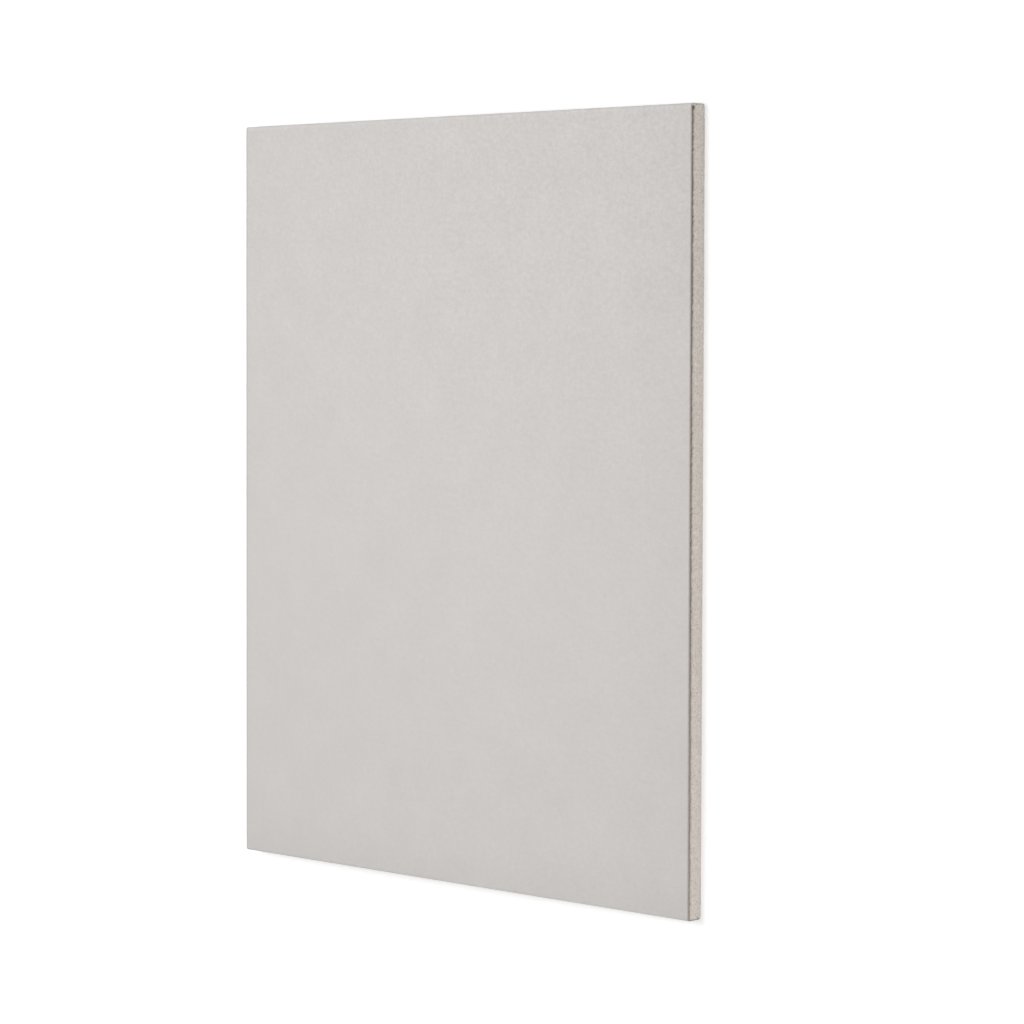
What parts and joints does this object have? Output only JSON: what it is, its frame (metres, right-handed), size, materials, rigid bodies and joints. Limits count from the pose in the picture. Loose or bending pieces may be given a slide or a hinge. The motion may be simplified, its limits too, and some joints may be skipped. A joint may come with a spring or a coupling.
{
  "type": "drywall sheet",
  "caption": "Flat rectangular panel of gypsum wallboard: pale paper face folded round two bound edges, grey paper back and bare gypsum on two cut ends.",
  "frame": {"origin": "middle of the panel's footprint, on its back face, which lies on the floor", "axes": "+X from cut end to cut end, towards the cut end that the picture shows; +Y along the longer side, from bound edge to bound edge, towards the picture's top; +Z through the thickness, out of the face"},
  "size_m": [0.4, 0.5, 0.0125],
  "materials": {
    "gypsum": "matte, sawn gypsum with fine pores",
    "face_paper": "matte, smooth calendered paper",
    "back_paper": "matte, rough grey recycled paper"
  },
  "bodies": {
    "root": {"gypsum_core": "gypsum", "face_paper": "face_paper", "back_paper": "back_paper"}
  },
  "joints": []
}
